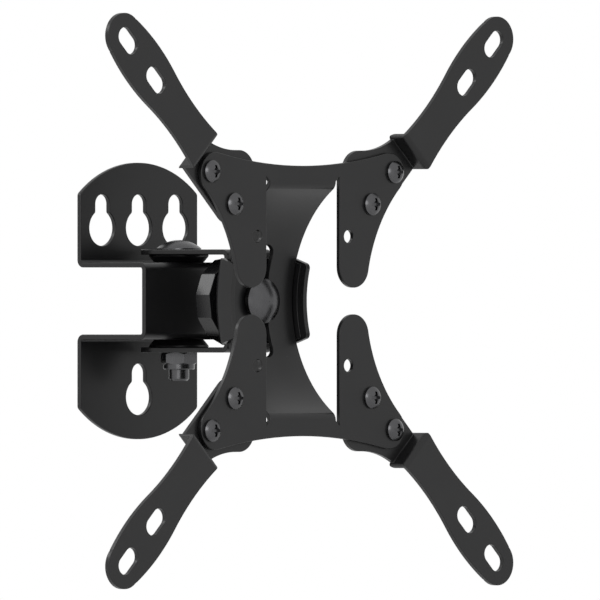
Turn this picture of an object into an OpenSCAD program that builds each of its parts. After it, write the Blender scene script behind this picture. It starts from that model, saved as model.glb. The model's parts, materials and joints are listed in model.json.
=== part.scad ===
// Full motion TV wall mount: wall bracket, swivel clevis, tilting finger plate and four
// bolt-on arms, with its fasteners.
// X runs to the right, +Z is up, the wall is the plane y = 0 and the screen side faces -Y.
// The origin lies on the wall, level with the middle of the finger plate.

/* [Overall] */
// Distance from the wall to the front face of the finger plate
reach = 92.3; // [88:0.1:110]
// Thickness of every steel sheet
sheet_t = 2; // [1.6:0.1:2.4]
// Inner radius of the folds in the wall bracket and the clevis
fold_r = 1; // [0.5:0.1:1.5]
// Radial clearance of a bolt in a hole that it turns in
bolt_fit = 0.05; // [0.02:0.01:0.1]
// Gap between faces that slide past each other
slide_gap = 0.2; // [0.2:0.05:0.4]

/* [Wall bracket] */
// Width of the wall bracket
wall_w = 64; // [58:1:84]
// Height of the wall bracket over both lobes
wall_h = 107.6; // [104:0.1:130]
// Radius of the lobes' round outer edges
wall_arc_r = 48; // [44:1:60]
// Radius where a straight side meets a round edge
wall_corner_r = 2; // [1:0.5:4]
// Outer height of the channel that stands out from the wall
channel_h = 30; // [26:0.5:36]
// Distance from the wall to the channel's front face
channel_d = 37.7; // [36:0.1:40]
// Diameter of a keyhole's round part, which passes a screw head
keyhole_d = 14; // [11:0.5:15]
// Width of a keyhole's neck
keyhole_neck_w = 7.5; // [5:0.5:8]
// Distance from the centre of the round part up to the centre of the neck's end
keyhole_rise = 9.3; // [8:0.1:11]
// Fillet between a keyhole's neck and its round part
keyhole_fillet_r = 1.2; // [0.5:0.1:2]
// Distance between the upper keyholes
keyhole_pitch = 20; // [18:0.5:22]
// Height of the upper keyholes' round parts
upper_keyhole_z = 28.4; // [26:0.1:32]
// Depth of the lower keyhole's round part below the middle
lower_keyhole_z = 37.4; // [35:0.1:40]

/* [Swivel] */
// Distance from the wall to the swivel's axis
pivot_y = 23.9; // [22:0.1:25]
// Diameter of the pivot bolt and of the centre bolt
bolt_d = 8; // [7:0.5:8.5]
// Thickness of the plastic washers beside the channel
pivot_washer_t = 3; // [2:0.1:4]
// Diameter of a plastic washer at the clevis
pivot_washer_d = 23.2; // [21:0.1:26]
// Diameter of a plastic washer at the channel
pivot_washer_small_d = 19.3; // [17:0.1:20]
// Outer diameter of the spacer tube inside the channel
spacer_d = 13; // [12:0.5:16]
// Width of the clevis around the swivel's axis
clevis_w = 29.5; // [27:0.5:33]
// Width of the clevis across its web
web_w = 24.6; // [22:0.1:28]
// Diameter of the pivot bolt's low head
pivot_head_d = 17.4; // [14:0.1:18]
// Height of the pivot bolt's head
pivot_head_h = 3.7; // [3:0.1:5]
// Height of the straight rim under a bolt head's dome
pivot_rim_h = 0.5; // [0.4:0.1:1.2]
// Width across the flats of the pivot nut
pivot_nut_w = 12.5; // [11:0.5:14]
// Height of the pivot nut's hexagon
pivot_nut_h = 4.6; // [4:0.1:6]
// Height of the locking collar on the pivot nut
nut_collar_h = 2.0; // [1:0.1:2.5]
// Length of thread below the pivot nut
stub_l = 4.4; // [2:0.1:8]

/* [Tilt] */
// Radius of the curved strip's front face, about the tilt axis
tilt_r = 52.5; // [48:0.5:60]
// How far the curved strip's deepest point lies behind the finger plate's front
strip_depth = 24.1; // [20:0.1:26]
// Width of the curved strip
strip_w = 36; // [30:0.5:37]
// Width of the vertical slot in the curved strip
slot_w = 8.8; // [8.6:0.1:10]
// Length of the vertical slot in the curved strip
slot_l = 43.4; // [38:0.1:48]
// Outer radius where the curved strip folds into the bands
strip_fold_r = 4; // [2.5:0.5:5]
// Thickness of the plastic friction pad
pad_t = 0.6; // [0.5:0.1:1]
// Inner radius of the folds in the saddle
saddle_fold_r = 1.5; // [1:0.1:2]
// Distance from the tilt axis to the front edge of the saddle's ears
ear_r = 47.2; // [46:0.1:49]
// Half of the angle that the saddle spans about the tilt axis
saddle_angle = 17.4; // [15:0.1:19]
// Height of the saddle where its rear corners are cut off
saddle_h = 33.2; // [30:0.1:36]
// Corner radius of the saddle's ears
ear_corner_r = 2; // [1:0.5:3]

/* [Centre bolt and knob] */
// Diameter of the centre bolt's head
bolt_head_d = 17.3; // [16:0.1:18]
// Height of the rim of the centre bolt's head
bolt_rim_h = 1.7; // [1:0.1:2.5]
// Height of the dome on the centre bolt's head
bolt_dome_h = 3; // [2:0.1:4]
// Thickness of the flat washer behind the web
flat_washer_t = 1.2; // [1:0.1:2]
// Thickness of the spring washer
spring_washer_t = 1.6; // [1.2:0.1:2.2]
// Diameter of the knob across its corners
knob_d = 34.4; // [28:0.1:35]
// Thickness of the knob's grip
knob_t = 7.75; // [6:0.05:9]
// Length of the knob's hub in front of the grip
hub_l = 0.4; // [0.2:0.1:1.5]
// Diameter of the knob's hub
hub_d = 20; // [18:0.5:24]

/* [Finger plate] */
// Gap between the left and the right fingers
finger_gap = 40; // [39:0.5:46]
// Gap between the upper and the lower finger tips
tip_gap = 10.3; // [8:0.1:16]
// Radius of the finger tips
tip_r = 8; // [7:0.1:8.5]
// Radius of the plate's hollow outer sides
side_arc_r = 61; // [55:0.5:70]
// Corner radius of the plate
boss_r = 8; // [7:0.1:8.5]
// Height of the centres of the plate's round corners
boss_z = 49.45; // [49:0.05:51]
// Height of the top edge in the middle of the plate
band_top_z = 52.3; // [51:0.1:54]
// Diameter of the small holes for the 50 mm screen pattern
vesa_50_hole_d = 5; // [4.5:0.1:5.5]

/* [Arms] */
// Width of an arm's root, between the plate and the joggle
root_w = 15.4; // [13:0.1:16]
// Distance along the diagonal from the middle of the plate to the joggle
joggle_s = 80.8; // [79:0.1:84]
// How far the paddle stands in front of the root
arm_step = 7; // [5:0.1:9]
// Inner radius of the two folds of the joggle
joggle_fold_r = 0.3; // [0.2:0.1:1]
// Width of the paddle at its waist
waist_w = 15.8; // [14:0.1:17]
// Radius of the paddle's hollow sides, between the joggle and the swell
paddle_hollow_r = 108; // [90:1:130]
// Width of the paddle where it is widest
paddle_w = 20.7; // [18.5:0.1:23]
// Radius of the paddle's swelling sides
paddle_swell_r = 85; // [70:1:110]
// How far the paddle reaches past the middle of its outer slot
paddle_reach = 11.5; // [9.5:0.1:13]
// Radius of the third-hole lobe of an arm
lobe_r = 8.3; // [7.5:0.1:9]
// Width of an arm's diagonal slots
arm_slot_w = 7.2; // [5:0.1:8]
// Length of an arm's diagonal slots
arm_slot_l = 11.9; // [10:0.1:14]

/* [Arm screws] */
// Diameter of the screws that hold the arms
screw_d = 5; // [4:0.5:5.5]
// Diameter of a screw head
screw_head_d = 8.6; // [8:0.1:9.5]
// Height of a screw head
screw_head_h = 2.9; // [2:0.1:3.5]
// Width across the flats of a screw's nut
screw_nut_w = 8; // [7.5:0.5:10]
// Thickness of a screw's nut
screw_nut_h = 4; // [3:0.1:5]
// Length of thread beyond a screw's nut
screw_tail = 1; // [0.5:0.1:3]

/* [Hidden] */
$fn = 96;

// Hole patterns of screens: half of 50, 75, 100, 170 and 200 mm
vesa_50 = 25;
vesa_75 = 37.5;
vesa_100 = 50;
vesa_170 = 85;
vesa_200 = 100;

// Overlap of a cut beyond the face that it cuts
over = 1;
// How far a round crosses the edge that it runs into, so that the two meet at a point
cross = 0.01;
bolt_r = bolt_d / 2;
bolt_hole_r = bolt_r + bolt_fit;

// Swivel, from the middle outwards
channel_half = channel_h / 2;
clevis_in = channel_half + pivot_washer_t;
clevis_out = clevis_in + sheet_t;
nut_end = clevis_out + pivot_nut_h + nut_collar_h;

// Tilt: radii about the tilt axis, then depths behind the plate's front face
tilt_y = strip_depth - tilt_r - reach;
strip_back_r = tilt_r + sheet_t;
pad_r = strip_back_r + slide_gap;
saddle_r = pad_r + pad_t;
saddle_back_r = saddle_r + sheet_t;
lip_r = ear_r + 2.9;
pad_in = strip_w / 2 + slide_gap;
ear_in = pad_in + pad_t;
ear_out = ear_in + sheet_t;
web_depth = strip_depth - tilt_r + saddle_back_r + slide_gap;
web_back_depth = web_depth + sheet_t;
hub_depth = web_back_depth + flat_washer_t + spring_washer_t + slide_gap;
grip_depth = hub_depth + hub_l;
knob_end_depth = grip_depth + knob_t;
// Wall and length of the knob's insert, the wall that closes the bore behind it, and the
// room between that wall and the bolt's end
insert_wall = 2;
insert_d = bolt_d + 2 * insert_wall;
insert_l = 6;
knob_wall = 1.4;
bolt_end_room = 0.4;
bolt_end_depth = knob_end_depth - knob_wall - bolt_end_room;
bolt_sag = tilt_r - sqrt(pow(tilt_r, 2) - pow(bolt_head_d / 2, 2));
bolt_seat_depth = strip_depth - bolt_sag - slide_gap;

// Finger plate: the round tips and corners touch the hollow sides without a step
tip_x = finger_gap / 2 + tip_r;
tip_z = tip_gap / 2 + tip_r;
side_arc_x = tip_x + sqrt(pow(side_arc_r + tip_r - cross, 2) - pow(tip_z, 2));
boss_x = side_arc_x - sqrt(pow(side_arc_r + boss_r - cross, 2) - pow(boss_z, 2));
top_rise = band_top_z - boss_z;
top_reach = boss_r - cross;
top_arc_r = (pow(boss_x, 2) + pow(top_rise, 2) - pow(top_reach, 2))
    / (2 * (top_reach - top_rise));
axis_depth = strip_depth - tilt_r;
fold_z = sqrt(pow(tilt_r + strip_fold_r, 2) - pow(strip_fold_r - axis_depth, 2));

// Arms, measured along the diagonal
diagonal = sqrt(2);
root_front = sheet_t;
paddle_front = root_front - arm_step;
slot_end_s = vesa_200 * diagonal;
// Where the paddle is narrowest and where it is widest
waist_s = 98;
paddle_root_w = waist_w
    + 2 * (paddle_hollow_r - sqrt(pow(paddle_hollow_r, 2) - pow(waist_s - joggle_s, 2)));
swell_rise = (paddle_w - waist_w) / 2;
swell_s = waist_s
    + sqrt(2 * (paddle_hollow_r + paddle_swell_r) * swell_rise - pow(swell_rise, 2));
// The round end runs into the swelling sides without a corner
end_run = slot_end_s + paddle_reach - swell_s;
end_r = (paddle_swell_r * paddle_w - pow(paddle_w / 2, 2) - pow(end_run, 2))
    / (2 * (paddle_swell_r - end_run));
end_s = swell_s + end_run - end_r;
// Across, from the middle: the lobe's centre and where its top edge leaves the round
lobe_x = 33;
hole_3_x = vesa_100 - (vesa_100 - vesa_75) * diagonal;
throat_x = 35;
// The hollow beside the lobe ends on the root's side, this far short of the joggle
throat_end = 1.2;
screw_hole_r = screw_d / 2 + bolt_fit;

steel = "#2d2d30";
plastic = "#1b1b1d";
zinc = "#5c5c60";
brass = "#a58a4a";

// ---- Helpers -------------------------------------------------------------------------

// World y of a face that lies this deep behind the front of the finger plate
function at_depth(depth) = depth - reach;

function unit(v) = v / norm(v);

function polar(r, a) = [r * cos(a), r * sin(a)];

// Extrudes an outline in (x, z) from one depth to another
module between(from, to) {
    translate([0, at_depth(to), 0])
        rotate([90, 0, 0])
            linear_extrude(to - from)
                children();
}

// Extrudes a profile in (y, z) across the width
module across(width) {
    rotate([90, 0, 90])
        linear_extrude(width, center = true)
            children();
}

// Turns a profile in (radius, x) about the tilt axis, to both sides of the level
module about_tilt(half_angle) {
    translate([0, tilt_y, 0])
        rotate([90, 0, 90])
            rotate([0, 0, -half_angle])
                rotate_extrude(angle = 2 * half_angle)
                    children();
}

// A bore along y through the middle of the plate
module bore_y(r, from, to) {
    between(from, to) circle(r);
}

// What rounding takes off a corner: c is the round's centre, a and b are where it touches
// the two edges, and tip is a point just outside the corner
module corner_cut(c, r, a, tip, b) {
    difference() {
        polygon([c, a, tip, b]);
        translate(c + unit(tip - c) * 2 * cross) circle(r, $fn = 180);
    }
}

// Profile of a folded sheet along the middle of its thickness, with square folds
module folded_sheet(path, r) {
    mid_r = r + sheet_t / 2;
    last = len(path) - 1;
    for (i = [0:last - 1]) {
        u = unit(path[i + 1] - path[i]);
        from = i == 0 ? 0 : mid_r;
        to = norm(path[i + 1] - path[i]) - (i == last - 1 ? 0 : mid_r);
        translate(path[i] + u * from)
            rotate(atan2(u.y, u.x))
                translate([0, -sheet_t / 2])
                    square([to - from, sheet_t]);
    }
    for (i = [1:last - 1]) {
        u = unit(path[i - 1] - path[i]);
        v = unit(path[i + 1] - path[i]);
        side = r + sheet_t;
        middle = path[i] + (u + v) * mid_r;
        intersection() {
            translate(middle)
                difference() {
                    circle(side);
                    circle(r);
                }
            translate(middle - (u + v) * side / 2)
                square(side, center = true);
        }
    }
}

// Outline round two circles, with their outer tangents
module tangent_bar(c1, r1, c2, r2) {
    away = unit(c2 - c1);
    lean = acos((r1 - r2) / norm(c2 - c1));
    heading = atan2(away.y, away.x);
    translate(c1) circle(r1);
    translate(c2) circle(r2);
    polygon([
        c1 + polar(r1 - cross, heading + lean), c1 + polar(r1 - cross, heading - lean),
        c2 + polar(r2 - cross, heading - lean), c2 + polar(r2 - cross, heading + lean)
    ]);
}

// A low domed head that stands on z = 0
module domed_head(d, rim_h, dome_h) {
    dome_r = (pow(d / 2, 2) + pow(dome_h, 2)) / (2 * dome_h);
    intersection() {
        cylinder(h = rim_h + dome_h, d = d);
        translate([0, 0, rim_h + dome_h - dome_r]) sphere(dome_r);
    }
}

// A hexagonal nut on z = 0 with both ends' corners turned off
module hex_nut(width, height, hole_r) {
    corner_r = width / sqrt(3);
    wide_r = 1.05 * corner_r;
    turned = 0.7 * (wide_r - width / 2);
    difference() {
        intersection() {
            linear_extrude(height) circle(corner_r, $fn = 6);
            rotate_extrude()
                polygon([
                    [0, 0], [width / 2, 0], [wide_r, turned],
                    [wide_r, height - turned], [width / 2, height], [0, height]
                ]);
        }
        translate([0, 0, -over]) cylinder(h = height + 2 * over, r = hole_r);
    }
}

// ---- Fixed to the wall ---------------------------------------------------------------

module wall_outline() {
    arc_z = wall_h / 2 - wall_arc_r;
    side = wall_w / 2;
    round_x = side - wall_corner_r;
    round_z = arc_z + sqrt(pow(wall_arc_r - wall_corner_r, 2) - pow(round_x, 2));
    corner_z = arc_z + sqrt(pow(wall_arc_r, 2) - pow(side, 2));
    out = unit([round_x, round_z - arc_z]);
    difference() {
        intersection() {
            square([wall_w, wall_h], center = true);
            union() {
                translate([0, arc_z]) circle(wall_arc_r);
                translate([0, -arc_z]) circle(wall_arc_r);
            }
        }
        for (sx = [0, 1], sz = [0, 1])
            mirror([sx, 0])
                mirror([0, sz])
                    corner_cut(
                        [round_x, round_z], wall_corner_r,
                        [side, round_z], [side + 0.1, corner_z + 0.1],
                        [round_x, round_z] + out * wall_corner_r
                    );
    }
}

// Keyhole with its round part on the origin
module keyhole() {
    neck = keyhole_neck_w / 2;
    round_r = keyhole_d / 2;
    fillet_x = neck + keyhole_fillet_r;
    fillet_z = sqrt(pow(round_r + keyhole_fillet_r, 2) - pow(fillet_x, 2));
    circle(round_r);
    translate([0, keyhole_rise]) circle(neck);
    translate([-neck, 0]) square([keyhole_neck_w, keyhole_rise]);
    difference() {
        polygon([[0, 0], [fillet_x, fillet_z], [-fillet_x, fillet_z]]);
        for (side = [-1, 1])
            translate([side * fillet_x, fillet_z]) circle(keyhole_fillet_r);
    }
}

module wall_bracket() {
    wall_mid = -sheet_t / 2;
    front_mid = sheet_t / 2 - channel_d;
    leg_mid = channel_half - sheet_t / 2;
    end_z = wall_h / 2 + over;
    color(steel)
        difference() {
            intersection() {
                across(wall_w + 2 * over)
                    folded_sheet([
                        [wall_mid, end_z], [wall_mid, leg_mid], [front_mid, leg_mid],
                        [front_mid, -leg_mid], [wall_mid, -leg_mid], [wall_mid, -end_z]
                    ], fold_r);
                between(reach - channel_d - over, reach + over) wall_outline();
            }
            between(reach - sheet_t - over, reach + over) {
                for (x = [-keyhole_pitch, 0, keyhole_pitch])
                    translate([x, upper_keyhole_z]) keyhole();
                translate([0, -lower_keyhole_z]) keyhole();
            }
            translate([0, -pivot_y, 0]) cylinder(h = wall_h, r = bolt_hole_r, center = true);
        }
}

// Cone-shaped washer: its small face lies on z = 0
module pivot_washer() {
    bore_r = bolt_hole_r;
    lip = 0.6;
    color(plastic)
        rotate_extrude()
            polygon([
                [bore_r, 0], [pivot_washer_small_d / 2, 0],
                [pivot_washer_d / 2, pivot_washer_t - lip],
                [pivot_washer_d / 2, pivot_washer_t], [bore_r, pivot_washer_t]
            ]);
}

module pivot_washer_upper() {
    translate([0, -pivot_y, channel_half]) pivot_washer();
}

module pivot_washer_lower() {
    translate([0, -pivot_y, -channel_half]) mirror([0, 0, 1]) pivot_washer();
}

module pivot_spacer() {
    length = channel_h - 2 * sheet_t;
    color(zinc)
        translate([0, -pivot_y, 0])
            difference() {
                cylinder(h = length, d = spacer_d, center = true);
                cylinder(h = length + over, r = bolt_hole_r, center = true);
            }
}

// ---- Turns about the swivel pivot ----------------------------------------------------

module swivel_clevis() {
    plate_mid = clevis_in + sheet_t / 2;
    web_mid = at_depth(web_depth + sheet_t / 2);
    rear = clevis_w / 2 + over - pivot_y;
    color(steel)
        difference() {
            intersection() {
                across(clevis_w + 2 * over)
                    folded_sheet([
                        [rear, plate_mid], [web_mid, plate_mid],
                        [web_mid, -plate_mid], [rear, -plate_mid]
                    ], fold_r);
                linear_extrude(2 * clevis_out + over, center = true)
                    tangent_bar(
                        [0, -pivot_y], clevis_w / 2,
                        [0, at_depth(web_depth)], web_w / 2
                    );
            }
            translate([0, -pivot_y, 0]) cylinder(h = wall_h, r = bolt_hole_r, center = true);
            bore_y(bolt_hole_r, web_depth - over, web_back_depth + over);
        }
}

module pivot_bolt() {
    shank_l = clevis_out + nut_end + stub_l;
    chamfer = 0.8;
    color(zinc)
        translate([0, -pivot_y, clevis_out]) {
            domed_head(pivot_head_d, pivot_rim_h, pivot_head_h - pivot_rim_h);
            translate([0, 0, chamfer - shank_l]) cylinder(h = shank_l - chamfer, r = bolt_r);
            translate([0, 0, -shank_l]) cylinder(h = chamfer, r1 = bolt_r - chamfer, r2 = bolt_r);
        }
}

module pivot_nut() {
    // Turned so that a flat faces forward and to the left
    turn = 1.7;
    collar_r = pivot_nut_w / 2 - 0.05;
    collar_chamfer = 0.35;
    nut_l = pivot_nut_h + nut_collar_h;
    color(zinc)
        translate([0, -pivot_y, -clevis_out])
            mirror([0, 0, 1])
                rotate(turn)
                    difference() {
                        union() {
                            hex_nut(pivot_nut_w, pivot_nut_h, bolt_hole_r);
                            rotate_extrude()
                                polygon([
                                    [0, pivot_nut_h / 2], [collar_r, pivot_nut_h / 2],
                                    [collar_r, nut_l - collar_chamfer],
                                    [collar_r - collar_chamfer, nut_l], [0, nut_l]
                                ]);
                        }
                        translate([0, 0, -over]) cylinder(h = nut_end, r = bolt_hole_r);
                    }
}

module washer_on_bolt(d, from, thickness) {
    color(zinc)
        between(from, from + thickness)
            difference() {
                circle(d = d);
                circle(bolt_hole_r);
            }
}

module flat_washer() {
    washer_on_bolt(2 * bolt_d, web_back_depth, flat_washer_t);
}

module spring_washer() {
    gap_w = 1;
    outer_d = 1.6 * bolt_d;
    difference() {
        washer_on_bolt(outer_d, web_back_depth + flat_washer_t, spring_washer_t);
        // The split, cut across at a slant
        color(zinc)
            translate([0, at_depth(web_back_depth + flat_washer_t + spring_washer_t / 2), outer_d / 2])
                rotate([0, 0, 20])
                    cube([gap_w, 3 * spring_washer_t, outer_d], center = true);
    }
}

// ---- Turns about the centre bolt -----------------------------------------------------

module saddle_bracket() {
    base_mid = saddle_r + sheet_t / 2;
    ear_mid = ear_out - sheet_t / 2;
    // Centre of the round on an ear's front corner
    round_r = ear_r + ear_corner_r;
    round_a = saddle_angle - asin(ear_corner_r / round_r);
    color(steel)
        difference() {
            intersection() {
                about_tilt(saddle_angle)
                    folded_sheet([
                        [ear_r, ear_mid], [base_mid, ear_mid],
                        [base_mid, -ear_mid], [ear_r, -ear_mid]
                    ], saddle_fold_r);
                cube([4 * ear_out, 4 * reach, saddle_h], center = true);
            }
            bore_y(bolt_hole_r, bolt_seat_depth, web_depth);
            for (side = [0, 1])
                mirror([0, 0, side])
                    translate([0, tilt_y, 0])
                        across(3 * ear_out)
                            corner_cut(
                                polar(round_r, round_a), ear_corner_r,
                                polar(ear_r, round_a),
                                polar(ear_r - 0.2, saddle_angle + 0.3),
                                polar(sqrt(pow(round_r, 2) - pow(ear_corner_r, 2)), saddle_angle)
                            );
        }
}

module friction_pad() {
    pad_angle = saddle_angle - 1;
    // Rounder than the inside of the saddle's fold, so that the pad beds on the sheet
    corner_r = saddle_fold_r + 0.3;
    corner = [saddle_r - corner_r, ear_in - corner_r];
    color(plastic)
        difference() {
            intersection() {
                about_tilt(pad_angle)
                    difference() {
                        translate([lip_r, -ear_in]) square([saddle_r - lip_r, 2 * ear_in]);
                        translate([lip_r - over, -pad_in]) square([pad_r - lip_r + over, 2 * pad_in]);
                        for (side = [0, 1])
                            mirror([0, side])
                                corner_cut(
                                    corner, corner_r, [saddle_r, corner.y],
                                    [saddle_r + 0.1, ear_in + 0.1], [corner.x, ear_in]
                                );
                    }
                cube([4 * ear_out, 4 * reach, saddle_h - 1], center = true);
            }
            bore_y(bolt_hole_r, bolt_seat_depth, web_depth);
        }
}

module center_bolt() {
    chamfer = 0.8;
    color(zinc)
        translate([0, at_depth(bolt_seat_depth), 0])
            rotate([90, 0, 0]) {
                domed_head(bolt_head_d, bolt_rim_h, bolt_dome_h);
                translate([0, 0, bolt_seat_depth - bolt_end_depth + chamfer])
                    cylinder(h = bolt_end_depth - bolt_seat_depth - chamfer, r = bolt_r);
                translate([0, 0, bolt_seat_depth - bolt_end_depth])
                    cylinder(h = chamfer, r1 = bolt_r - chamfer, r2 = bolt_r);
            }
}

// ---- The knob, which turns on the centre bolt ----------------------------------------

module knob() {
    // Vertices stand half a side off the level
    turn = 22.5;
    r = knob_d / 2;
    // What is turned off the corners, carried on a little outside them
    wide_r = r + 0.4;
    turned = 0.15;
    turned_l = 0.3 * (turned + wide_r - r) / turned;
    color(plastic)
        difference() {
            union() {
                intersection() {
                    between(grip_depth, knob_end_depth) rotate(turn) circle(r, $fn = 12);
                    translate([0, at_depth(knob_end_depth), 0])
                        rotate([90, 0, 0])
                            rotate_extrude()
                                polygon([
                                    [0, 0], [r - turned, 0], [wide_r, turned_l],
                                    [wide_r, knob_t - turned_l], [r - turned, knob_t],
                                    [0, knob_t]
                                ]);
                }
                between(hub_depth, grip_depth + over) circle(d = hub_d);
            }
            bore_y(insert_d / 2, hub_depth - over, hub_depth + insert_l);
            bore_y(bolt_r + 0.3, hub_depth - over, knob_end_depth - knob_wall);
        }
}

module knob_insert() {
    color(brass)
        between(hub_depth, hub_depth + insert_l)
            difference() {
                circle(d = insert_d);
                circle(bolt_hole_r);
            }
}

// ---- The head, which tilts about the tilt axis ---------------------------------------

module plate_quarter() {
    notch_z = fold_z + (finger_gap - strip_w) / 2;
    difference() {
        union() {
            polygon([
                [0, fold_z], [strip_w / 2, fold_z], [finger_gap / 2, notch_z],
                [finger_gap / 2, tip_z], [tip_x, tip_z], [side_arc_x, 0],
                [boss_x, boss_z], [0, band_top_z + top_arc_r]
            ]);
            translate([tip_x, tip_z]) circle(tip_r);
            translate([boss_x, boss_z]) circle(boss_r);
        }
        translate([side_arc_x, 0]) circle(side_arc_r);
        translate([0, band_top_z + top_arc_r]) circle(top_arc_r, $fn = 240);
        for (p = [vesa_75, vesa_100])
            translate([p, p]) circle(screw_hole_r);
        translate([vesa_50, vesa_50]) circle(d = vesa_50_hole_d);
    }
}

// Upper half of the curved strip and the outside of its fold into the band, from the side
module strip_profile() {
    toward = unit([strip_fold_r - axis_depth, fold_z]);
    touch = [axis_depth, 0] + toward * tilt_r;
    middle = [axis_depth, 0] + toward * (tilt_r + sheet_t / 2);
    top_z = fold_z + 0.5;
    difference() {
        union() {
            intersection() {
                translate([axis_depth, 0]) circle(strip_back_r, $fn = 180);
                translate([0, -over]) square([strip_back_r, top_z + over]);
            }
            polygon([
                [0, top_z], [sheet_t, top_z], [sheet_t, fold_z], [strip_fold_r, fold_z],
                middle, [0, middle.y]
            ]);
        }
        translate([axis_depth, 0]) circle(tilt_r, $fn = 180);
        corner_cut(
            [strip_fold_r, fold_z], strip_fold_r,
            [0, fold_z], [-0.5, touch.y + 0.5], touch
        );
    }
}

module finger_plate() {
    color(steel)
        difference() {
            union() {
                between(0, sheet_t)
                    for (sx = [0, 1], sz = [0, 1])
                        mirror([sx, 0]) mirror([0, sz]) plate_quarter();
                translate([0, -reach, 0])
                    across(strip_w)
                        for (sz = [0, 1])
                            mirror([0, sz]) strip_profile();
            }
            between(over, web_depth) {
                for (side = [-1, 1])
                    translate([0, side * (slot_l - slot_w) / 2]) circle(d = slot_w);
                square([slot_w, slot_l - slot_w], center = true);
            }
            // Inner rounds of the folds
            for (side = [-1, 1])
                translate([0, at_depth(strip_fold_r), side * fold_z])
                    rotate([0, 90, 0])
                        cylinder(
                            h = strip_w + 2 * over, r = strip_fold_r - sheet_t + cross,
                            center = true
                        );
        }
}

// Side view of an arm along the diagonal: root, joggle and paddle
module arm_profile() {
    root_mid = at_depth(root_front + sheet_t / 2);
    paddle_mid = at_depth(paddle_front + sheet_t / 2);
    step_mid = joggle_s + sheet_t / 2;
    folded_sheet([
        [vesa_50, root_mid], [step_mid, root_mid],
        [step_mid, paddle_mid], [slot_end_s + paddle_w, paddle_mid]
    ], joggle_fold_r);
}

// Outline of the paddle along the diagonal: waisted sides that swell, then narrow to a
// round end
module paddle_outline() {
    half_w = paddle_w / 2;
    hollow_w = waist_w / 2 + paddle_hollow_r;
    round_r = 1.5;
    swell = [swell_s, half_w - paddle_swell_r];
    touch = swell + unit([waist_s, hollow_w] - swell) * paddle_swell_r;
    beyond_s = end_s + end_r + over;
    difference() {
        union() {
            translate([end_s, 0]) circle(end_r + 2 * cross);
            translate([joggle_s, -half_w]) square([end_s - joggle_s, paddle_w]);
        }
        for (side = [0, 1])
            mirror([0, side]) {
                translate([waist_s, hollow_w]) circle(paddle_hollow_r, $fn = 240);
                difference() {
                    polygon([
                        swell, touch, [waist_s, half_w + over],
                        [beyond_s, half_w + over], [beyond_s, swell.y]
                    ]);
                    translate(swell + [0, cross]) circle(paddle_swell_r, $fn = 240);
                }
                corner_cut(
                    [joggle_s + round_r, paddle_root_w / 2 - round_r], round_r,
                    [joggle_s, paddle_root_w / 2 - round_r],
                    [joggle_s - 0.1, paddle_root_w / 2 + 0.3],
                    [joggle_s + round_r, paddle_root_w / 2]
                );
            }
        for (p = [vesa_170, vesa_200])
            translate([p * diagonal, 0]) {
                for (side = [-1, 1])
                    translate([side * (arm_slot_l - arm_slot_w) / 2, 0]) circle(d = arm_slot_w);
                square([arm_slot_l - arm_slot_w, arm_slot_w], center = true);
            }
    }
}

// The root's bar along the diagonal, up to the joggle
module root_bar() {
    root_r = root_w / 2;
    inner_s = vesa_75 * diagonal;
    translate([inner_s, 0]) circle(root_r);
    translate([inner_s, -root_r]) square([joggle_s + sheet_t - inner_s, root_w]);
}

// What fills the corner between the bar and the lobe, with a hollow outer edge, in (x, z)
module throat_outline() {
    lobe_top = vesa_100 + lobe_r - cross;
    joggle_end = joggle_s + sheet_t;
    corner = [joggle_end - root_w / 2, joggle_end + root_w / 2] / diagonal;
    from = [throat_x, lobe_top];
    rise = corner - [throat_end, throat_end] / diagonal - from;
    hollow_r = pow(norm(rise), 2) / (2 * rise.y);
    difference() {
        polygon([[lobe_x, vesa_100], [lobe_x, lobe_top], from, corner, [vesa_100, vesa_100]]);
        translate(from + [0, hollow_r - cross]) circle(hollow_r, $fn = 180);
    }
}

module arm() {
    from = paddle_front - over;
    to = root_front + sheet_t + over;
    inner = [vesa_75, vesa_75];
    color(steel)
        difference() {
            intersection() {
                rotate([0, -45, 0])
                    linear_extrude(2 * paddle_w + 2 * lobe_x, center = true)
                        arm_profile();
                union() {
                    between(from, to) rotate(45) root_bar();
                    between(from, to) tangent_bar([lobe_x, vesa_100], lobe_r, inner, root_w / 2);
                    between(from, to) throat_outline();
                    between(from, to) rotate(45) paddle_outline();
                }
            }
            for (p = [inner, [vesa_100, vesa_100], [hole_3_x, vesa_100]])
                between(from, to) translate(p) circle(screw_hole_r);
        }
}

// Pan head screw along y, with its head's underside on the plate's front face
module arm_screw() {
    shank_l = 2 * sheet_t + screw_nut_h + screw_tail;
    rim_h = 0.9;
    recess_w = 1.1;
    recess_l = 4.8;
    recess_h = 1.7;
    color(zinc)
        rotate([90, 0, 0])
            difference() {
                union() {
                    domed_head(screw_head_d, rim_h, screw_head_h - rim_h);
                    translate([0, 0, -shank_l]) cylinder(h = shank_l, r = screw_d / 2);
                }
                translate([0, 0, screw_head_h]) {
                    cube([recess_w, recess_l, 2 * recess_h], center = true);
                    cube([recess_l, recess_w, 2 * recess_h], center = true);
                    translate([0, 0, -recess_h]) cylinder(h = recess_h, r1 = 0.7, r2 = 1.5);
                }
            }
}

module screw_at(sx, sz, p) {
    translate([sx * p, at_depth(0), sz * p]) arm_screw();
}

module nut_at(sx, sz, p) {
    color(zinc)
        translate([sx * p, at_depth(2 * sheet_t), sz * p])
            rotate([-90, 0, 0])
                hex_nut(screw_nut_w, screw_nut_h, screw_hole_r);
}

module arm_at(sx, sz) {
    mirror([sx < 0 ? 1 : 0, 0, 0])
        mirror([0, 0, sz < 0 ? 1 : 0])
            arm();
}

// ---- Nodes ---------------------------------------------------------------------------

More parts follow.
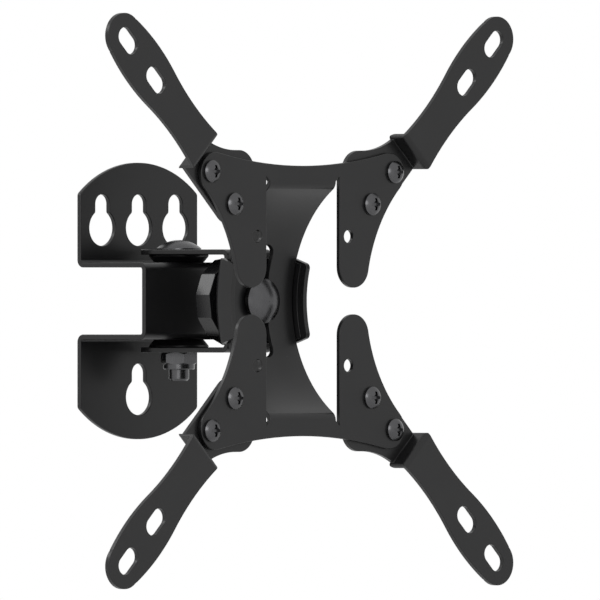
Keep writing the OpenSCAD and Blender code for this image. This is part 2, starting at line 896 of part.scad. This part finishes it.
wall_bracket();
pivot_washer_upper();
pivot_washer_lower();
pivot_spacer();
swivel_clevis();
pivot_bolt();
pivot_nut();
flat_washer();
spring_washer();
saddle_bracket();
friction_pad();
center_bolt();
knob();
knob_insert();
finger_plate();
arm_at(1, 1);  // arm_upper_right
arm_at(-1, 1);  // arm_upper_left
arm_at(1, -1);  // arm_lower_right
arm_at(-1, -1);  // arm_lower_left
screw_at(1, 1, vesa_75);  // screw_upper_right_inner
screw_at(1, 1, vesa_100);  // screw_upper_right_outer
screw_at(-1, 1, vesa_75);  // screw_upper_left_inner
screw_at(-1, 1, vesa_100);  // screw_upper_left_outer
screw_at(1, -1, vesa_75);  // screw_lower_right_inner
screw_at(1, -1, vesa_100);  // screw_lower_right_outer
screw_at(-1, -1, vesa_75);  // screw_lower_left_inner
screw_at(-1, -1, vesa_100);  // screw_lower_left_outer
nut_at(1, 1, vesa_75);  // nut_upper_right_inner
nut_at(1, 1, vesa_100);  // nut_upper_right_outer
nut_at(-1, 1, vesa_75);  // nut_upper_left_inner
nut_at(-1, 1, vesa_100);  // nut_upper_left_outer
nut_at(1, -1, vesa_75);  // nut_lower_right_inner
nut_at(1, -1, vesa_100);  // nut_lower_right_outer
nut_at(-1, -1, vesa_75);  // nut_lower_left_inner
nut_at(-1, -1, vesa_100);  // nut_lower_left_outer
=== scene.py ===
"""Looks for the full motion TV wall mount: black powder-coated sheet, blackened fasteners
and moulded plastic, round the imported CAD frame."""

import json
import math

import bpy
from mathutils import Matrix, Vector


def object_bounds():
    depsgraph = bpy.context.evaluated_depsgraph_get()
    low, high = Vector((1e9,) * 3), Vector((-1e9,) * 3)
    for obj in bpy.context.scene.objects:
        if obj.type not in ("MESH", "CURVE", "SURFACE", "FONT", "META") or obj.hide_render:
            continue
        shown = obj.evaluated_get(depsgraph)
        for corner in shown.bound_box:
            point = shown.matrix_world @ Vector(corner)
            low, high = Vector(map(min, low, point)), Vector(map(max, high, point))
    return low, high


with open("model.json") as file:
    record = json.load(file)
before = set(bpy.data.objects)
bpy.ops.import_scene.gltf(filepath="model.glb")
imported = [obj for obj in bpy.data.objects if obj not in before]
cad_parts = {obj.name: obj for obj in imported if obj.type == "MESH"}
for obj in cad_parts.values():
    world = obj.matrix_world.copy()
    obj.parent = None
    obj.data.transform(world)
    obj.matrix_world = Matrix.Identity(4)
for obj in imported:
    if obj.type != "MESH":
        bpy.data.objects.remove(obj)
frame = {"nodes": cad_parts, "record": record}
CAD_BOX = [list(corner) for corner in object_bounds()]

MM = 0.001

# ---- Camera --------------------------------------------------------------------------------

# The camera looks along the level, 45 degrees from the front, on the object's left
CAMERA_AZIMUTH = math.radians(-45)
# The point in the middle of the view, and the width of the view there
AIM = Vector((-0.916 * MM, -91.384 * MM, 0.387 * MM))
VIEW_WIDTH = 232.1 * MM
SENSOR = 36.0
LENS = 1700.0


def add_camera():
    data = bpy.data.cameras.new("camera")
    data.lens = LENS
    data.sensor_width = SENSOR
    data.dof.use_dof = False
    distance = VIEW_WIDTH / 2 / (SENSOR / 2 / LENS)
    back = Vector((math.sin(CAMERA_AZIMUTH), -math.cos(CAMERA_AZIMUTH), 0))
    camera = bpy.data.objects.new("camera", data)
    camera.location = AIM + back * distance
    camera.rotation_mode = "QUATERNION"
    camera.rotation_quaternion = (-back).to_track_quat("-Z", "Y")
    data.clip_start = distance / 4
    data.clip_end = distance * 4
    bpy.context.collection.objects.link(camera)
    bpy.context.scene.camera = camera


# ---- Light ---------------------------------------------------------------------------------

CENTRE = Vector((0, -0.06, 0))
# Azimuth and elevation in degrees, distance, width and height in metres, power in watts
SOFTBOXES = {
    "rear_left": (-140, 32, 0.9, 0.45, 0.25, 1.1),
    "beside_camera": (-50, 14, 1.0, 0.5, 0.5, 2.2),
}


def add_softbox(name, azimuth, elevation, distance, width, height, power):
    """A soft area light that looks at the object; azimuth and elevation as for a view."""
    a, e = math.radians(azimuth), math.radians(elevation)
    back = Vector((math.sin(a) * math.cos(e), -math.cos(a) * math.cos(e), math.sin(e)))
    data = bpy.data.lights.new(name, "AREA")
    data.shape = "RECTANGLE"
    data.size, data.size_y = width, height
    data.energy = power
    light = bpy.data.objects.new(name, data)
    light.location = CENTRE + back * distance
    light.rotation_mode = "QUATERNION"
    light.rotation_quaternion = back.to_track_quat("Z", "Y")
    bpy.context.collection.objects.link(light)


# Where the studio is bright, and how bright it is there and on the far side
BRIGHT_SIDE = Vector((-0.62, -0.62, 0.48))
BRIGHT_LEVEL = 1.0
DARK_LEVEL = 0.85
# Cosine of the angle from the bright side at which each of the two begins
DARK_FROM = -0.35
BRIGHT_FROM = 0.75

def add_world():
    """White all round to the eye; on the object the light comes from one side."""
    world = bpy.data.worlds.new("studio")
    world.use_nodes = True
    nodes, links = world.node_tree.nodes, world.node_tree.links
    nodes.clear()
    seen = nodes.new("ShaderNodeBackground")
    seen.inputs["Color"].default_value = (1, 1, 1, 1)
    seen.inputs["Strength"].default_value = 1.0
    lit = nodes.new("ShaderNodeBackground")
    lit.inputs["Color"].default_value = (1, 1, 1, 1)
    place = nodes.new("ShaderNodeTexCoord")
    toward = nodes.new("ShaderNodeVectorMath")
    toward.operation = "DOT_PRODUCT"
    toward.inputs[1].default_value = BRIGHT_SIDE.normalized()
    level = nodes.new("ShaderNodeMapRange")
    level.interpolation_type = "SMOOTHSTEP"
    level.inputs["From Min"].default_value = DARK_FROM
    level.inputs["From Max"].default_value = BRIGHT_FROM
    level.inputs["To Min"].default_value = DARK_LEVEL
    level.inputs["To Max"].default_value = BRIGHT_LEVEL
    links.new(place.outputs["Generated"], toward.inputs[0])
    links.new(toward.outputs["Value"], level.inputs["Value"])
    links.new(level.outputs[0], lit.inputs["Strength"])
    path = nodes.new("ShaderNodeLightPath")
    mix = nodes.new("ShaderNodeMixShader")
    out = nodes.new("ShaderNodeOutputWorld")
    links.new(path.outputs["Is Camera Ray"], mix.inputs["Fac"])
    links.new(lit.outputs[0], mix.inputs[1])
    links.new(seen.outputs[0], mix.inputs[2])
    links.new(mix.outputs[0], out.inputs["Surface"])
    bpy.context.scene.world = world


# ---- Materials -----------------------------------------------------------------------------


class Graph:
    """Short-hand for the nodes of one material."""

    def __init__(self, name):
        self.material = bpy.data.materials.new(name)
        self.material.use_nodes = True
        self.nodes = self.material.node_tree.nodes
        self.links = self.material.node_tree.links
        self.shader = self.nodes["Principled BSDF"]
        self.place = self.nodes.new("ShaderNodeTexCoord").outputs["Object"]

    def add(self, kind, inputs=None, **settings):
        node = self.nodes.new(kind)
        for key, value in settings.items():
            setattr(node, key, value)
        for key, value in (inputs or {}).items():
            if isinstance(value, bpy.types.NodeSocket):
                self.links.new(value, node.inputs[key])
            else:
                node.inputs[key].default_value = value
        return node

    def noise(self, scale, detail=3.0, roughness=0.55, stretch=None):
        place = self.place
        if stretch:
            place = self.add(
                "ShaderNodeMapping", {"Vector": place, "Scale": stretch}
            ).outputs[0]
        return self.add(
            "ShaderNodeTexNoise",
            {"Vector": place, "Scale": scale, "Detail": detail, "Roughness": roughness},
        ).outputs["Fac"]

    def ranged(self, value, low, high, start=0.3, end=0.7):
        return self.add(
            "ShaderNodeMapRange",
            {"Value": value, "From Min": start, "From Max": end, "To Min": low, "To Max": high},
        ).outputs[0]

    def math(self, operation, a, b=0.5):
        node = self.add("ShaderNodeMath", operation=operation)
        for socket, value in zip(node.inputs, (a, b)):
            if isinstance(value, bpy.types.NodeSocket):
                self.links.new(value, socket)
            else:
                socket.default_value = value
        return node.outputs[0]

    def colour(self, fac, dark, light, start=0.3, end=0.7):
        ramp = self.add("ShaderNodeValToRGB", {"Fac": fac})
        ramp.color_ramp.elements[0].position = start
        ramp.color_ramp.elements[1].position = end
        ramp.color_ramp.elements[0].color = (*dark, 1)
        ramp.color_ramp.elements[1].color = (*light, 1)
        self.links.new(ramp.outputs["Color"], self.shader.inputs["Base Color"])

    def bump(self, height, distance, strength, under=None):
        inputs = {"Height": height, "Distance": distance, "Strength": strength}
        if under is not None:
            inputs["Normal"] = under
        return self.add("ShaderNodeBump", inputs).outputs[0]

    def link(self, socket, name):
        self.links.new(socket, self.shader.inputs[name])


def powder_coat(name, edge=None):
    """Satin black coat. edge is the radius to which it shades the edges round."""
    g = Graph(name)
    cloud = g.noise(55.0, detail=2.0)
    grain = g.noise(1400.0, detail=2.0)
    peel = g.noise(420.0, detail=1.0)
    g.colour(cloud, (0.0052, 0.0052, 0.0055), (0.0066, 0.0066, 0.0069))
    g.link(g.ranged(grain, 0.30, 0.35), "Roughness")
    rounded = None
    if edge:
        rounded = g.add("ShaderNodeBevel", {"Radius": edge}, samples=8).outputs[0]
    first = g.bump(grain, 0.000004, 0.15, rounded)
    g.link(g.bump(peel, 0.00001, 0.12, first), "Normal")
    g.shader.inputs["IOR"].default_value = 1.42
    return g.material


def black_zinc(name, thread=None):
    """Blackened zinc plate. thread is (axis, from, to, pitch) where a bolt is threaded."""
    g = Graph(name)
    cloud = g.noise(260.0, detail=3.0)
    scratch = g.noise(900.0, detail=3.0, stretch=(1.0, 1.0, 0.15))
    g.colour(cloud, (0.086, 0.086, 0.089), (0.098, 0.098, 0.101))
    g.shader.inputs["Metallic"].default_value = 1.0
    g.link(g.ranged(scratch, 0.26, 0.29), "Roughness")
    normal = g.bump(scratch, 0.000001, 0.1)
    if thread:
        axis, start, end, pitch = thread
        parts = g.add("ShaderNodeSeparateXYZ", {"Vector": g.place})
        along = parts.outputs[axis]
        wave = g.math("SINE", g.math("MULTIPLY", along, 2 * math.pi / pitch))
        inside = g.math(
            "MULTIPLY",
            g.math("GREATER_THAN", along, start),
            g.math("LESS_THAN", along, end),
        )
        normal = g.bump(g.math("MULTIPLY", wave, inside), pitch * 0.3, 0.8, normal)
    g.link(normal, "Normal")
    return g.material


def moulded_plastic(name, roughness, light):
    g = Graph(name)
    cloud = g.noise(90.0, detail=2.0)
    grain = g.noise(2600.0, detail=2.0)
    g.colour(cloud, [0.8 * v for v in light], light)
    g.link(g.ranged(grain, roughness - 0.01, roughness + 0.02), "Roughness")
    g.link(g.bump(grain, 0.000002, 0.1), "Normal")
    return g.material


def turned_brass():
    g = Graph("turned_brass")
    rings = g.noise(700.0, detail=2.0, stretch=(0.1, 1.0, 0.1))
    g.colour(rings, (0.42, 0.29, 0.10), (0.62, 0.45, 0.18))
    g.shader.inputs["Metallic"].default_value = 1.0
    g.link(g.ranged(rings, 0.2, 0.38), "Roughness")
    g.link(g.bump(rings, 0.00001, 0.3), "Normal")
    return g.material


# The axis, the two ends and the pitch of the thread that the arm screws show
SCREW_THREAD = (1, -88 * MM, -82 * MM, 0.8 * MM)
# How far the arms' edges are shaded round, since their mesh is rounded less
ARM_SHADED_EDGE = 0.45 * MM


def paint_nodes():
    steel = powder_coat("black_powder_coat")
    arm_steel = powder_coat("black_powder_coat_arm", ARM_SHADED_EDGE)
    plastic = moulded_plastic("black_nylon", 0.34, (0.004, 0.004, 0.0045))
    knob = moulded_plastic("black_knob_plastic", 0.26, (0.005, 0.005, 0.0055))
    zinc = black_zinc("black_zinc")
    screw = black_zinc("black_zinc_m5", SCREW_THREAD)
    finishes = {
        "black_steel": steel,
        "black_plastic": plastic,
        "dark_zinc": zinc,
        "brass_insert": turned_brass(),
    }
    slots = {p["node"]: p["material_slot"] for p in frame["record"]["subparts"]}
    for name, node in frame["nodes"].items():
        material = finishes[slots[name]]
        if name == "knob":
            material = knob
        elif name.startswith("screw_"):
            material = screw
        elif name.startswith("arm_"):
            material = arm_steel
        for slot in node.material_slots:
            slot.material = material


# ---- Edges ---------------------------------------------------------------------------------

# Radius of the rounding along the edges of a piece, in millimetres
SHEET_EDGE = 0.35
SMALL_EDGE = 0.12
EDGES = {
    "wall_bracket": SHEET_EDGE,
    "swivel_clevis": SHEET_EDGE,
    "saddle_bracket": 0.15,
    "finger_plate": SHEET_EDGE,
    "knob": 0.25,
    "pivot_washer_upper": 0.3,
    "pivot_washer_lower": 0.3,
    "flat_washer": 0.2,
}
# The tight folds of the arms leave no room for more
ARM_EDGE = 0.06
# These keep the CAD's own edges
PLAIN = ("pivot_bolt", "pivot_nut", "center_bolt", "pivot_spacer", "knob_insert")
# Vertices this close are one, faces this nearly level are one, and edges this sharp are
# rounded, in this many steps
WELD_GAP = 0.001 * MM
LEVEL_ANGLE = math.radians(0.3)
SHARP_ANGLE = math.radians(28)
EDGE_STEPS = 3


def round_edges():
    for name, node in frame["nodes"].items():
        if name.startswith(("screw_", "nut_")) or name in PLAIN:
            continue
        width = EDGES.get(name, ARM_EDGE if name.startswith("arm_") else SMALL_EDGE)
        weld = node.modifiers.new("weld", "WELD")
        weld.merge_threshold = WELD_GAP
        flat = node.modifiers.new("flat", "DECIMATE")
        flat.decimate_type = "DISSOLVE"
        flat.angle_limit = LEVEL_ANGLE
        bevel = node.modifiers.new("edges", "BEVEL")
        bevel.width = width * MM
        bevel.segments = EDGE_STEPS
        bevel.limit_method = "ANGLE"
        bevel.angle_limit = SHARP_ANGLE
        bevel.use_clamp_overlap = False
        bevel.harden_normals = False
        weighted = node.modifiers.new("normals", "WEIGHTED_NORMAL")
        weighted.keep_sharp = False
        weighted.weight = 80


# ---- Floor ---------------------------------------------------------------------------------

FLOOR_BELOW = 10.5 * MM
FLOOR_RADIUS = 0.34
FLOOR_SIDES = 96


def add_floor():
    bottom = CAD_BOX[0][2] - FLOOR_BELOW
    mesh = bpy.data.meshes.new("floor")
    ring = [
        (FLOOR_RADIUS * math.cos(2 * math.pi * i / FLOOR_SIDES),
         CENTRE.y + FLOOR_RADIUS * math.sin(2 * math.pi * i / FLOOR_SIDES), bottom)
        for i in range(FLOOR_SIDES)
    ]
    mesh.from_pydata(ring, [], [list(range(FLOOR_SIDES))])
    floor = bpy.data.objects.new("floor", mesh)
    bpy.context.collection.objects.link(floor)
    g = Graph("pale_floor")
    g.colour(g.noise(12.0), (0.86, 0.86, 0.86), (0.88, 0.88, 0.88))
    g.shader.inputs["Roughness"].default_value = 0.8
    mesh.materials.append(g.material)


add_camera()
add_world()
for softbox, placing in SOFTBOXES.items():
    add_softbox(softbox, *placing)
paint_nodes()
round_edges()
add_floor()
bpy.context.scene.view_settings.view_transform = "Standard"
